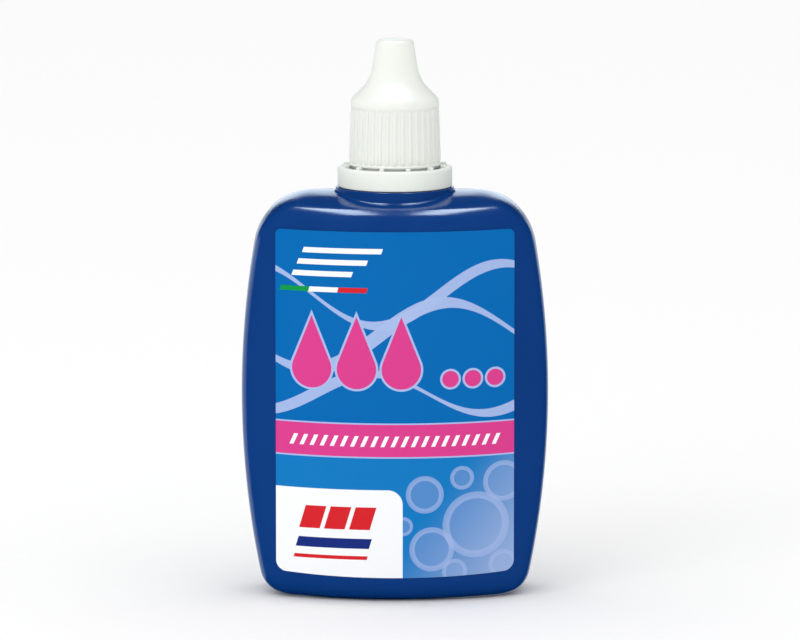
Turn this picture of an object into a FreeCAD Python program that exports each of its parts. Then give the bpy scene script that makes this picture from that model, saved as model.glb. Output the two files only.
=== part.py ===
import FreeCAD, Part
import math
import os

import Sketcher

# A dropper bottle for chain oil: a blown flask with a film label, a dropper plug pressed into its neck,
# a screw cap with a long nose and a tamper band held under the neck bead.
# Frame: +Z up, the base stands on z = 0, the neck axis is the Z axis and the label faces -Y.

START, END, CENTRE = range(1, 4)
ORIGIN = (-1, 1)
X_AXIS, Y_AXIS = -1, -2

# Driving sizes in millimetres; angles in degrees, shares and counts are plain numbers
SIZES = {
    # Flask
    "body_width": 58.0,
    "body_depth": 30.0,
    "shoulder_height": 75.65,
    "widest_height": 38.0,
    "side_radius": 170.0,
    "panel_radius": 45.0,
    "top_corner_radius": 11.4,
    "base_corner_radius": 5.5,
    "edge_radius": 4.5,
    "wall": 1.0,
    "foot_ring_width": 2.5,
    "foot_recess_length": 34.0,
    "foot_recess_depth": 1.0,
    # Neck
    "collar_margin": 0.35,
    "collar_height": 1.45,
    "collar_edge": 0.5,
    "neck_radius": 6.0,
    "neck_wall": 1.2,
    "neck_height": 9.9,
    "neck_step": 1.6,
    "bead_reach": 1.2,
    "bead_rise": 1.9,
    "bead_land": 0.6,
    "bead_height": 1.6,
    # Room for the screw thread between neck and cap
    "thread_depth": 0.75,
    "thread_clearance": 0.3,
    # Film label
    "label_width": 44.8,
    "label_foot_margin": 0.45,
    "label_top_margin": 0.9,
    "label_corner_radius": 1.1,
    "label_thickness": 0.1,
    "glue_thickness": 0.05,
    # Dropper plug
    "plug_clearance": 0.03,
    "ring_depth": 0.32,
    "ring_height": 0.9,
    "ring_lift": 0.9,
    "ring_spacing": 3.2,
    "sleeve_wall": 0.75,
    "sleeve_length": 7.2,
    "flange_thickness": 1.1,
    "nozzle_base_radius": 4.2,
    "nozzle_tip_radius": 1.9,
    "nozzle_wall": 1.0,
    "nozzle_height": 11.4,
    "drip_hole_radius": 0.5,
    "drip_hole_length": 1.4,
    # Screw cap
    "cap_foot_lift": 0.8,
    "skirt_wall": 1.65,
    "skirt_draft": 0.45,
    "skirt_cover": 2.1,
    "flange_clearance": 0.3,
    "shoulder_cut": 1.15,
    "shoulder_share": 0.22,
    "nose_base_radius": 4.6,
    "nose_tip_radius": 3.5,
    "nose_height": 7.6,
    "nose_tip_edge": 0.6,
    "flare_share": 0.41,
    "nose_share": 0.31,
    "nose_wall": 1.15,
    "nose_bore_lift": 1.25,
    "nose_tip_wall": 1.6,
    "tip_clearance": 0.35,
    "pin_clearance": 0.08,
    "pin_length": 1.5,
    "rib_count": 36,
    "flute_width": 0.95,
    "flute_depth": 0.25,
    "flute_foot_margin": 0.7,
    "flute_top_margin": 1.4,
    # Tamper band
    "slot_width": 1.05,
    "band_wall": 1.05,
    "band_lift": 0.25,
    "rim_drop": 0.2,
    "band_edge": 0.5,
    "lip_clearance": 0.4,
    "lip_gap": 0.55,
    "lip_slope": 0.5,
    "bridge_count": 12,
    "bridge_angle": 4.5,
    "bridge_height": 0.7,
    "bridge_gap": 0.2,
    "bridge_root": 0.2,
}

# Heights and radii that several pieces share, as formulas over the sizes
PANEL_CENTRE = "(sizes.panel_radius - sizes.body_depth / 2)"
COLLAR_TOP = "(sizes.shoulder_height + sizes.collar_height)"
BEAD_BOTTOM = f"({COLLAR_TOP} + sizes.bead_rise)"
NECK_STEP = f"({BEAD_BOTTOM} + sizes.bead_height)"
NECK_TOP = f"({NECK_STEP} + sizes.neck_height)"
NECK_BASE = "(sizes.neck_radius + sizes.neck_step)"
NECK_BORE = "(sizes.neck_radius - sizes.neck_wall)"
FLANGE_TOP = f"({NECK_TOP} + sizes.flange_thickness)"
NOZZLE_TIP = f"({FLANGE_TOP} + sizes.nozzle_height)"
CAP_FOOT = f"({NECK_STEP} + sizes.cap_foot_lift)"
CAP_CEILING = f"({NOZZLE_TIP} + sizes.tip_clearance)"
CAP_TOP = f"({CAP_CEILING} + sizes.nose_tip_wall)"
CAP_BORE = "(sizes.neck_radius + sizes.thread_depth + sizes.thread_clearance)"
SKIRT_FOOT = f"({CAP_BORE} + sizes.skirt_wall)"
BAND_INNER = f"({SKIRT_FOOT} + sizes.slot_width)"
BAND_OUTER = f"({BAND_INNER} + sizes.band_wall)"
COLLAR_OUTER = f"({BAND_OUTER} + sizes.collar_margin)"

# Steps along the base corner, the side and the shoulder corner of the lofted flask
OUTSIDE_STEPS = (5, 8, 6)
HOLLOW_STEPS = (2, 6, 3)

document = FreeCAD.newDocument("dropper_bottle")
sheet = document.addObject("Spreadsheet::Sheet", "sizes")
for row, (alias, size) in enumerate(SIZES.items(), start=1):
    sheet.set(f"A{row}", alias)
    sheet.set(f"B{row}", str(size))
    sheet.setAlias(f"B{row}", alias)
document.recompute()


def number(formula):
    """The value of a formula over the sizes."""
    return float(sheet.evalExpression(formula))


def new_body(name):
    body = document.addObject("PartDesign::Body", name)
    body.Label = name
    return body


def origin_feature(body, role):
    """One of a body's own origin planes or axes."""
    return next(feature for feature in body.Origin.OriginFeatures if feature.Role == role)


def new_sketch(body, name, plane):
    sketch = body.newObject("Sketcher::SketchObject", name)
    sketch.AttachmentSupport = (origin_feature(body, plane), [""])
    sketch.MapMode = "FlatFace"
    return sketch


def constrain(sketch, kind, *references):
    sketch.addConstraint(Sketcher.Constraint(kind, *references))


def dimension(sketch, formula, kind, *references):
    """Add a driving dimension to a sketch and bind it to the sizes."""
    index = sketch.addConstraint(Sketcher.Constraint(kind, *references, number(formula)))
    sketch.setExpression(f"Constraints[{index}]", formula)


def draw_corners(sketch, corners):
    """Draw a closed outline of straight lines whose corners are pairs of formulas."""
    points = [(number(across), number(up)) for across, up in corners]
    for start, end in zip(points, points[1:] + points[:1]):
        draw_line(sketch, start, end)
    for corner, (across, up) in enumerate(corners):
        before = (corner - 1) % len(corners)
        constrain(sketch, "Coincident", before, END, corner, START)
        place_point(sketch, corner, START, across, up)


def place_point(sketch, item, point, across, up):
    """Fix a point of a sketch by two formulas measured from the origin."""
    if across == "0":
        constrain(sketch, "PointOnObject", item, point, Y_AXIS)
    else:
        dimension(sketch, across, "DistanceX", *ORIGIN, item, point)
    if up == "0":
        constrain(sketch, "PointOnObject", item, point, X_AXIS)
    else:
        dimension(sketch, up, "DistanceY", *ORIGIN, item, point)


def draw_arc(sketch, centre, start, end):
    """Draw an anticlockwise arc about a centre from one point to another."""
    circle = Part.Circle(FreeCAD.Vector(*centre, 0), FreeCAD.Vector(0, 0, 1), 1.0)
    spokes = [FreeCAD.Vector(point[0] - centre[0], point[1] - centre[1], 0) for point in (start, end)]
    circle.Radius = spokes[0].Length
    angles = [circle.parameter(circle.Center + spoke) for spoke in spokes]
    if angles[1] <= angles[0]:
        angles[1] += 2 * math.pi
    sketch.addGeometry(Part.ArcOfCircle(circle, *angles), False)


def draw_line(sketch, start, end):
    sketch.addGeometry(Part.LineSegment(FreeCAD.Vector(*start, 0), FreeCAD.Vector(*end, 0)), False)


def revolve(body, name, corners):
    """Turn a half section, given as pairs of radius and height, about the Z axis."""
    sketch = new_sketch(body, f"{name}_section", "XZ_Plane")
    draw_corners(sketch, corners)
    feature = body.newObject("PartDesign::Revolution", name)
    feature.Profile = sketch
    feature.ReferenceAxis = (sketch, ["V_Axis"])
    document.recompute()
    return feature


def loft(body, name, kind, sketches):
    """Join sketches in order by straight-ruled walls."""
    feature = body.newObject(kind, name)
    feature.Profile = sketches[0]
    feature.Sections = sketches[1:]
    feature.Ruled = True
    document.recompute()
    return feature


def repeat_round(body, name, feature, count):
    """Repeat a feature about the Z axis."""
    pattern = body.newObject("PartDesign::PolarPattern", name)
    pattern.Originals = [feature]
    pattern.Axis = (origin_feature(body, "Z_Axis"), [""])
    pattern.Angle = 360
    pattern.setExpression("Occurrences", count)
    body.Tip = pattern
    document.recompute()


def silhouette_stations(inset, floor, base_steps, side_steps, top_steps):
    """Heights and half widths, as formulas, along the flask's front outline from its base to its shoulder.

    The outline is a base corner arc, a long bowed side arc and a shoulder corner arc, tangent to each other.
    The inset moves it inwards by a wall, and the floor is the height of its base.
    """
    side = f"(sizes.side_radius - {inset})"
    low_corner = f"(sizes.base_corner_radius - {inset})"
    high_corner = f"(sizes.top_corner_radius - {inset})"
    top = f"(sizes.shoulder_height - {inset})"
    side_middle = f"(sizes.body_width / 2 - {inset} - {side})"
    low_middle = f"({floor} + {low_corner})"
    high_middle = f"({top} - {high_corner})"
    low_turn = f"asin(({low_middle} - sizes.widest_height) / ({side} - {low_corner}))"
    high_turn = f"asin(({high_middle} - sizes.widest_height) / ({side} - {high_corner}))"
    low_across = f"({side_middle} + ({side} - {low_corner}) * cos({low_turn}))"
    high_across = f"({side_middle} + ({side} - {high_corner}) * cos({high_turn}))"
    stations = [(floor, low_across)]
    arcs = (
        (low_across, low_middle, low_corner, "-90 deg", low_turn, range(1, base_steps)),
        (side_middle, "sizes.widest_height", side, low_turn, high_turn, range(side_steps + 1)),
        (high_across, high_middle, high_corner, high_turn, "90 deg", range(1, top_steps)),
    )
    for across, middle, radius, first, last, steps in arcs:
        whole = side_steps if radius == side else steps.stop
        for step in steps:
            turn = f"({first} + ({last} - {first}) * {step} / {whole})"
            stations.append((f"({middle} + {radius} * sin({turn}))", f"({across} + {radius} * cos({turn}))"))
    return stations + [(top, high_across)]


def draw_station(sketch, half_width, panel, corner):
    """Plan of the flask at one height: two bowed panels, two straight sides and four rounded corners."""
    back_off = number(PANEL_CENTRE)
    half, bow, bend = number(half_width), number(panel), number(corner)
    across = half - bend
    along = ((bow - bend) ** 2 - across**2) ** 0.5 - back_off
    share = bow / (bow - bend)
    touch = (across * share, (along + back_off) * share - back_off)

    def mirrored(point, right, back):
        return (point[0] if right else -point[0], point[1] if back else -point[1])

    def corner_arc(right, back, from_panel):
        points = [mirrored(touch, right, back), mirrored((half, along), right, back)]
        draw_arc(sketch, mirrored((across, along), right, back), *(points if from_panel else points[::-1]))

    draw_arc(sketch, (0, back_off), mirrored(touch, False, False), mirrored(touch, True, False))
    corner_arc(True, False, True)
    draw_line(sketch, (half, -along), (half, along))
    corner_arc(True, True, False)
    draw_arc(sketch, (0, -back_off), mirrored(touch, True, True), mirrored(touch, False, True))
    corner_arc(False, True, True)
    draw_line(sketch, (-half, along), (-half, -along))
    corner_arc(False, False, False)
    front, front_right, right, back_right, back, back_left, left, front_left = range(8)
    for piece in range(8):
        constrain(sketch, "Tangent", piece, END, (piece + 1) % 8, START)
    for side in (right, left):
        constrain(sketch, "Vertical", side)
    for other in (back_right, back_left, front_left):
        constrain(sketch, "Equal", front_right, other)
    constrain(sketch, "Equal", front, back)
    for arc in (front, back):
        constrain(sketch, "PointOnObject", arc, CENTRE, Y_AXIS)
    dimension(sketch, PANEL_CENTRE, "DistanceY", *ORIGIN, front, CENTRE)
    dimension(sketch, PANEL_CENTRE, "DistanceY", back, CENTRE, *ORIGIN)
    dimension(sketch, panel, "Radius", front)
    dimension(sketch, corner, "Radius", front_right)
    dimension(sketch, half_width, "DistanceX", *ORIGIN, right, START)
    dimension(sketch, half_width, "DistanceX", left, START, *ORIGIN)


def add_flask(body, inset, floor, steps):
    """The flask's bulk, lofted through plans at stations from its base to its shoulder.

    Near the base and the shoulder the panels draw in along a quarter round.
    """
    edge = f"(sizes.edge_radius - {inset})"
    top = f"(sizes.shoulder_height - {inset})"
    sketches = []
    for index, (height, half_width) in enumerate(silhouette_stations(inset, floor, *steps)):
        past_edge = f"max(0; {edge} - ({height} - {floor}); {edge} - ({top} - {height}))"
        draw_in = f"({edge} - sqrt({edge}^2 - min({edge}; {past_edge})^2))"
        sketch = new_sketch(body, f"{body.Name}_station_{index}", "XY_Plane")
        sketch.setExpression("AttachmentOffset.Base.z", height)
        draw_station(sketch, half_width, f"(sizes.panel_radius - {inset} - {draw_in})", edge)
        sketches.append(sketch)
    document.recompute()
    loft(body, f"{body.Name}_bulk", "PartDesign::AdditiveLoft", sketches)


def draw_rounded_rectangle(sketch, half_width, bottom, top, radius):
    """An upright rectangle about the vertical axis, with four rounded corners."""
    half, low, high, bend = (number(formula) for formula in (half_width, bottom, top, radius))
    corners = [(half, low), (half, high), (-half, high), (-half, low)]
    turns = [(1, 0), (0, 1), (-1, 0), (0, -1)]
    for corner, before, after in zip(corners, turns, turns[1:] + turns[:1]):
        start = (corner[0] - bend * before[0], corner[1] - bend * before[1])
        end = (corner[0] + bend * after[0], corner[1] + bend * after[1])
        centre = (start[0] + bend * after[0], start[1] + bend * after[1])
        draw_arc(sketch, centre, start, end)
    low_right, high_right, high_left, low_left = range(4)
    for corner in (low_right, high_right, high_left, low_left):
        following = (corner + 1) % len(corners)
        start = sketch.Geometry[corner].EndPoint
        end = sketch.Geometry[following].StartPoint
        draw_line(sketch, (start.x, start.y), (end.x, end.y))
        line = len(corners) + corner
        constrain(sketch, "Tangent", corner, END, line, START)
        constrain(sketch, "Tangent", line, END, following, START)
        constrain(sketch, "Horizontal" if corner in (high_right, low_left) else "Vertical", line)
    for corner in (high_right, high_left, low_left):
        constrain(sketch, "Equal", low_right, corner)
    dimension(sketch, radius, "Radius", low_right)
    dimension(sketch, half_width, "DistanceX", *ORIGIN, low_right, END)
    dimension(sketch, half_width, "DistanceX", high_left, END, *ORIGIN)
    dimension(sketch, bottom, "DistanceY", *ORIGIN, low_right, START)
    dimension(sketch, top, "DistanceY", *ORIGIN, high_left, START)


def draw_surround(sketch):
    """A circle that holds the whole plan, so that a cut takes all that lies outside an inner outline."""
    reach = number("sizes.body_width")
    sketch.addGeometry(Part.Circle(FreeCAD.Vector(), FreeCAD.Vector(0, 0, 1), reach), False)
    surround = len(sketch.Geometry) - 1
    constrain(sketch, "Coincident", surround, CENTRE, *ORIGIN)
    dimension(sketch, "sizes.body_width", "Radius", surround)


def draw_panel_strip(sketch, inner, outer, half_length):
    """A strip between two arcs about the front panel's centre, with straight ends."""
    back_off = number(PANEL_CENTRE)
    half = number(half_length)
    depths = [back_off - (number(radius) ** 2 - half**2) ** 0.5 for radius in (inner, outer)]
    draw_arc(sketch, (0, back_off), (-half, depths[1]), (half, depths[1]))
    draw_line(sketch, (half, depths[1]), (half, depths[0]))
    draw_arc(sketch, (0, back_off), (-half, depths[0]), (half, depths[0]))
    draw_line(sketch, (-half, depths[0]), (-half, depths[1]))
    front, right, rear, left = range(4)
    constrain(sketch, "Coincident", front, END, right, START)
    constrain(sketch, "Coincident", right, END, rear, END)
    constrain(sketch, "Coincident", rear, START, left, START)
    constrain(sketch, "Coincident", left, END, front, START)
    constrain(sketch, "Coincident", front, CENTRE, rear, CENTRE)
    constrain(sketch, "PointOnObject", front, CENTRE, Y_AXIS)
    constrain(sketch, "Vertical", right)
    constrain(sketch, "Vertical", left)
    dimension(sketch, PANEL_CENTRE, "DistanceY", *ORIGIN, front, CENTRE)
    dimension(sketch, outer, "Radius", front)
    dimension(sketch, inner, "Radius", rear)
    dimension(sketch, half_length, "DistanceX", *ORIGIN, right, START)
    dimension(sketch, half_length, "DistanceX", left, START, *ORIGIN)


def draw_foot_recess(sketch):
    """The pushed-up middle of the base: two arcs along the panels, with straight ends."""
    back_off = number(PANEL_CENTRE)
    radius_formula = "sizes.panel_radius - sizes.edge_radius - sizes.foot_ring_width"
    half = number("sizes.foot_recess_length / 2")
    depth = back_off - (number(radius_formula) ** 2 - half**2) ** 0.5
    draw_arc(sketch, (0, back_off), (-half, depth), (half, depth))
    draw_line(sketch, (half, depth), (half, -depth))
    draw_arc(sketch, (0, -back_off), (half, -depth), (-half, -depth))
    draw_line(sketch, (-half, -depth), (-half, depth))
    front, right, back, left = range(4)
    for piece in range(4):
        constrain(sketch, "Coincident", piece, END, (piece + 1) % 4, START)
    constrain(sketch, "PointOnObject", front, CENTRE, Y_AXIS)
    constrain(sketch, "Symmetric", front, CENTRE, back, CENTRE, *ORIGIN)
    constrain(sketch, "Equal", front, back)
    constrain(sketch, "Vertical", right)
    constrain(sketch, "Vertical", left)
    dimension(sketch, PANEL_CENTRE, "DistanceY", *ORIGIN, front, CENTRE)
    dimension(sketch, radius_formula, "Radius", front)
    dimension(sketch, "sizes.foot_recess_length / 2", "DistanceX", *ORIGIN, right, START)
    dimension(sketch, "sizes.foot_recess_length / 2", "DistanceX", left, START, *ORIGIN)


def make_bottle():
    """The blown bottle: flask, collar and neck with its bead, all hollow, on a ring-shaped foot."""
    outside = new_body("bottle_outside")
    add_flask(outside, "0", "0", OUTSIDE_STEPS)
    revolve(outside, "neck", [
        ("0", "sizes.shoulder_height - sizes.wall"),
        (COLLAR_OUTER, "sizes.shoulder_height - sizes.wall"),
        (COLLAR_OUTER, f"{COLLAR_TOP} - sizes.collar_edge"),
        (f"{COLLAR_OUTER} - sizes.collar_edge", COLLAR_TOP),
        (NECK_BASE, COLLAR_TOP),
        (NECK_BASE, BEAD_BOTTOM),
        (f"{NECK_BASE} + sizes.bead_reach", BEAD_BOTTOM),
        (f"{NECK_BASE} + sizes.bead_reach", f"{BEAD_BOTTOM} + sizes.bead_land"),
        (NECK_BASE, NECK_STEP),
        ("sizes.neck_radius", NECK_STEP),
        ("sizes.neck_radius", NECK_TOP),
        ("0", NECK_TOP),
    ])
    recess = new_sketch(outside, "foot_recess_outline", "XY_Plane")
    draw_foot_recess(recess)
    pocket = outside.newObject("PartDesign::Pocket", "foot_recess")
    pocket.Profile = recess
    pocket.Reversed = True
    pocket.setExpression("Length", "sizes.foot_recess_depth")
    document.recompute()

    hollow = new_body("bottle_hollow")
    add_flask(hollow, "sizes.wall", "(sizes.foot_recess_depth + sizes.wall)", HOLLOW_STEPS)
    revolve(hollow, "neck_bore", [
        ("0", "sizes.shoulder_height - 2 * sizes.wall"),
        (f"{COLLAR_OUTER} - sizes.wall", "sizes.shoulder_height - 2 * sizes.wall"),
        (f"{COLLAR_OUTER} - sizes.wall", f"{COLLAR_TOP} - sizes.wall"),
        (f"{NECK_BASE} - sizes.wall", f"{COLLAR_TOP} - sizes.wall"),
        (NECK_BORE, f"{NECK_STEP} - sizes.wall"),
        (NECK_BORE, f"{NECK_TOP} + sizes.wall"),
        ("0", f"{NECK_TOP} + sizes.wall"),
    ])
    bottle = document.addObject("Part::Cut", "bottle")
    bottle.Label = "bottle"
    bottle.Base = outside
    bottle.Tool = hollow
    return bottle


def make_front_label():
    """A thin film that follows the curved front panel, with four rounded corners."""
    body = new_body("front_label")
    outline = new_sketch(body, "label_outline", "XZ_Plane")
    bottom = "sizes.edge_radius + sizes.label_foot_margin"
    top = "sizes.shoulder_height - sizes.edge_radius - sizes.label_top_margin"
    draw_rounded_rectangle(outline, "sizes.label_width / 2", bottom, top, "sizes.label_corner_radius")
    blank = body.newObject("PartDesign::Pad", "label_blank")
    blank.Profile = outline
    blank.setExpression("Length", "sizes.body_depth")
    document.recompute()
    plan = new_sketch(body, "label_plan", "XY_Plane")
    inner = "sizes.panel_radius + sizes.glue_thickness"
    half_length = "sizes.label_width / 2 + sizes.label_corner_radius"
    draw_panel_strip(plan, inner, f"{inner} + sizes.label_thickness", half_length)
    draw_surround(plan)
    film = body.newObject("PartDesign::Pocket", "film")
    film.Profile = plan
    film.Type = "ThroughAll"
    film.Midplane = True
    document.recompute()
    return body


def make_dropper_nozzle():
    """The dropper plug: a sleeve with two sealing rings, a flange on the neck rim and a tapered nozzle."""
    body = new_body("dropper_nozzle")
    sleeve_foot = f"({NECK_TOP} - sizes.sleeve_length)"
    ring_radius = f"({NECK_BORE} - sizes.plug_clearance)"
    sleeve_radius = f"({ring_radius} - sizes.ring_depth)"
    sleeve_bore = f"({sleeve_radius} - sizes.sleeve_wall)"
    revolve(body, "plug", [
        (sleeve_bore, sleeve_foot),
        (sleeve_radius, sleeve_foot),
        (sleeve_radius, NECK_TOP),
        ("sizes.neck_radius", NECK_TOP),
        ("sizes.neck_radius", FLANGE_TOP),
        ("sizes.nozzle_base_radius", FLANGE_TOP),
        ("sizes.nozzle_tip_radius", NOZZLE_TIP),
        ("sizes.drip_hole_radius", NOZZLE_TIP),
        ("sizes.drip_hole_radius", f"{NOZZLE_TIP} - sizes.drip_hole_length"),
        ("sizes.nozzle_base_radius - sizes.nozzle_wall", FLANGE_TOP),
        (sleeve_bore, NECK_TOP),
    ])
    ring_root = f"({sleeve_radius} - sizes.sleeve_wall / 2)"
    ring_foot = f"({sleeve_foot} + sizes.ring_lift)"
    ring = revolve(body, "sealing_ring", [
        (ring_root, ring_foot),
        (ring_radius, ring_foot),
        (ring_radius, f"{ring_foot} + sizes.ring_height"),
        (ring_root, f"{ring_foot} + sizes.ring_height"),
    ])
    rings = body.newObject("PartDesign::LinearPattern", "sealing_rings")
    rings.Originals = [ring]
    rings.Direction = (origin_feature(body, "Z_Axis"), [""])
    rings.Occurrences = 2
    rings.setExpression("Length", "sizes.ring_spacing")
    body.Tip = rings
    document.recompute()
    return body


def make_screw_cap():
    """The cap: a fluted skirt, a shoulder that sweeps up into the nose, and a sealing pin inside."""
    body = new_body("screw_cap")
    skirt_top = f"({FLANGE_TOP} + sizes.skirt_cover)"
    skirt_top_radius = f"({SKIRT_FOOT} - sizes.skirt_draft)"
    taper = f"(sizes.skirt_draft / ({skirt_top} - {CAP_FOOT}))"
    nose_base = f"({CAP_TOP} - sizes.nose_height)"
    slope_run = f"({skirt_top_radius} - sizes.nose_base_radius)"
    slope_rise = f"({nose_base} - {skirt_top})"
    nose_run = "(sizes.nose_base_radius - sizes.nose_tip_radius)"
    pin_radius = "sizes.drip_hole_radius - sizes.pin_clearance"
    revolve(body, "shell", [
        (SKIRT_FOOT, CAP_FOOT),
        (f"{skirt_top_radius} + {taper} * sizes.shoulder_cut", f"{skirt_top} - sizes.shoulder_cut"),
        (f"{skirt_top_radius} - {slope_run} * sizes.shoulder_share",
         f"{skirt_top} + {slope_rise} * sizes.shoulder_share"),
        (f"sizes.nose_base_radius + {slope_run} * sizes.flare_share",
         f"{nose_base} - {slope_rise} * sizes.flare_share"),
        (f"sizes.nose_base_radius - {nose_run} * sizes.nose_share",
         f"{nose_base} + sizes.nose_height * sizes.nose_share"),
        ("sizes.nose_tip_radius", f"{CAP_TOP} - sizes.nose_tip_edge"),
        ("sizes.nose_tip_radius - sizes.nose_tip_edge", CAP_TOP),
        ("0", CAP_TOP),
        ("0", f"{CAP_CEILING} - sizes.pin_length"),
        (pin_radius, f"{CAP_CEILING} - sizes.pin_length"),
        (pin_radius, CAP_CEILING),
        ("sizes.nose_tip_radius - sizes.nose_wall", CAP_CEILING),
        ("sizes.nose_base_radius - sizes.nose_wall", f"{nose_base} + sizes.nose_bore_lift"),
        (CAP_BORE, f"{FLANGE_TOP} + sizes.flange_clearance"),
        (CAP_BORE, CAP_FOOT),
    ])
    ends = []
    flute_foot = f"{CAP_FOOT} + sizes.flute_foot_margin"
    flute_top = f"{skirt_top} - sizes.flute_top_margin"
    for name, height in (("low", flute_foot), ("high", flute_top)):
        skirt = f"({SKIRT_FOOT} - {taper} * ({height} - {CAP_FOOT}))"
        sketch = new_sketch(body, f"flute_{name}", "XY_Plane")
        sketch.setExpression("AttachmentOffset.Base.z", height)
        draw_corners(sketch, [
            (f"{skirt} - sizes.flute_depth", "0"),
            (f"{skirt} + sizes.flute_depth", "-sizes.flute_width"),
            (f"{skirt} + sizes.flute_depth", "sizes.flute_width"),
        ])
        ends.append(sketch)
    flute = loft(body, "flute", "PartDesign::SubtractiveLoft", ends)
    repeat_round(body, "flutes", flute, "sizes.rib_count")
    return body


def make_tamper_band():
    """The ring left on the neck: a lip under the neck bead, and bridges that reached to the cap's foot."""
    body = new_body("tamper_band")
    foot = f"({COLLAR_TOP} + sizes.band_lift)"
    lip = f"{NECK_BASE} + sizes.lip_clearance"
    lip_top = f"({BEAD_BOTTOM} - sizes.lip_gap)"
    rim = f"({CAP_FOOT} - sizes.rim_drop)"
    revolve(body, "ring", [
        (lip, foot),
        (BAND_OUTER, foot),
        (BAND_OUTER, f"{rim} - sizes.band_edge"),
        (f"{BAND_OUTER} - sizes.band_edge", rim),
        (BAND_INNER, rim),
        (BAND_INNER, f"{lip_top} + sizes.lip_slope"),
        (lip, lip_top),
    ])
    bridge_inner = f"{SKIRT_FOOT} + sizes.bridge_gap"
    bridge_outer = f"{BAND_INNER} + sizes.bridge_root"
    bridge = revolve(body, "bridge", [
        (bridge_inner, f"{rim} - sizes.bridge_height"),
        (bridge_outer, f"{rim} - sizes.bridge_height"),
        (bridge_outer, CAP_FOOT),
        (bridge_inner, CAP_FOOT),
    ])
    # A slot, and not a bridge, stands at the middle of the front
    half_pitch = "180 / sizes.bridge_count"
    section, _ = bridge.Profile
    turn = FreeCAD.Rotation(FreeCAD.Vector(0, 1, 0), number(half_pitch))
    section.AttachmentOffset = FreeCAD.Placement(FreeCAD.Vector(), turn)
    section.setExpression("AttachmentOffset.Rotation.Angle", half_pitch)
    bridge.Midplane = True
    bridge.setExpression("Angle", "sizes.bridge_angle")
    document.recompute()
    repeat_round(body, "bridges", bridge, "sizes.bridge_count")
    return body


def check(item):
    """Stop on a failed feature or a shape that is missing or faulty."""
    if {"Invalid", "Error"} & set(item.State):
        raise RuntimeError(f"{item.Label} failed: {item.State}")
    shape = getattr(item, "Shape", None)
    if shape is not None and not item.isDerivedFrom("Sketcher::SketchObject"):
        if not item.isDerivedFrom("App::DatumElement") and (shape.isNull() or not shape.isValid()):
            raise RuntimeError(f"{item.Label} has no valid shape")


pieces = [make_bottle(), make_front_label(), make_dropper_nozzle(), make_screw_cap(), make_tamper_band()]
document.recompute()
for item in document.Objects:
    check(item)
os.makedirs("parts", exist_ok=True)
for piece in pieces:
    if len(piece.Shape.Solids) != 1:
        raise RuntimeError(f"{piece.Label} is {len(piece.Shape.Solids)} solids")
    piece.Shape.exportStep(f"parts/{piece.Label}.step")
    print(piece.Label, f"{piece.Shape.Volume:.1f} mm3", piece.Shape.BoundBox)
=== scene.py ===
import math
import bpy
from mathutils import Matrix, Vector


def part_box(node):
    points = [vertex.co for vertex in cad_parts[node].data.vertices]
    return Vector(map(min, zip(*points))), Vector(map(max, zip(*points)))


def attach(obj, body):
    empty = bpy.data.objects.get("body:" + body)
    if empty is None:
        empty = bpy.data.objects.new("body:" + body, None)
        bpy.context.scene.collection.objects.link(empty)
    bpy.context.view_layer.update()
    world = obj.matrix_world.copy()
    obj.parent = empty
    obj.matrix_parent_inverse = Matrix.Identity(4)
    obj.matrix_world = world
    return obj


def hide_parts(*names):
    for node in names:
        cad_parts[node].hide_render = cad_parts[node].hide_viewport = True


bl_info = {
    "name": "Chain oil bottle",
    "version": (1, 0, 0),
    "blender": (4, 5, 0),
    "location": "3D View > Sidebar > Oil bottle",
    "description": "Dresses the packed dropper bottle: flask, label, dropper plug, cap and tamper band",
    "category": "Object",
}

from functools import partial

import bmesh
import bpy
from bpy.props import FloatProperty, FloatVectorProperty, IntProperty, PointerProperty
from mathutils import Vector

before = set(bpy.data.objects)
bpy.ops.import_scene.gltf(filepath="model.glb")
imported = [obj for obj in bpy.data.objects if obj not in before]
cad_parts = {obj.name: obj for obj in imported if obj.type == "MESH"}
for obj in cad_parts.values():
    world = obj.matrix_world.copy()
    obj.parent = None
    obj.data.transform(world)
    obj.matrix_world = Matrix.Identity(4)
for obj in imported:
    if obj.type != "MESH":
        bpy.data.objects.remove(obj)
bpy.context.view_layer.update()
BOTTLE_LOW, BOTTLE_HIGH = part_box("bottle")
MM = 0.001

# Half sections in millimetres, each row a radius, a height and the rounding of that corner

# From the collar's edge over the neck bead and the rim, down the bore and out under the shoulder
NECK_SECTION = (
    (11.15, 77.10, 0.45), (7.60, 77.10, 0.35), (7.60, 79.00, 0.25), (8.80, 79.00, 0.22),
    (8.80, 79.60, 0.35), (7.60, 80.60, 0.35), (6.00, 80.60, 0.35), (6.00, 90.50, 0.30),
    (4.80, 90.50, 0.22), (4.80, 79.60, 0.60), (6.60, 76.10, 0.50), (10.15, 76.10, 0.40),
    (10.15, 75.00, 0.00),
)
# From the sealing pin down the bore, round the foot and up the outside to the middle of the nose
CAP_SECTION = (
    (0.00, 101.85, 0.00), (0.42, 101.85, 0.12), (0.42, 103.35, 0.15), (2.35, 103.35, 0.35),
    (3.45, 98.60, 1.20), (7.05, 91.90, 0.50), (7.05, 80.90, 0.15), (8.15, 80.62, 0.15),
    (8.15, 81.17, 0.10), (8.70, 81.17, 0.20), (8.69, 81.60, 0.15), (8.46, 81.80, 0.15),
    (8.12, 91.70, 0.40), (8.30, 92.45, 0.40), (8.25, 93.70, 2.80), (4.60, 97.35, 8.00),
    (3.45, 104.95, 1.00), (0.00, 104.95, 0.00),
)
# A closed loop from the lip under the neck bead, round the outside and over the rim
BAND_SECTION = (
    (8.00, 77.20, 0.15), (10.80, 77.20, 0.30), (10.80, 81.00, 0.45), (9.75, 81.00, 0.15),
    (9.75, 78.95, 0.30), (8.00, 78.45, 0.15),
)
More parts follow.
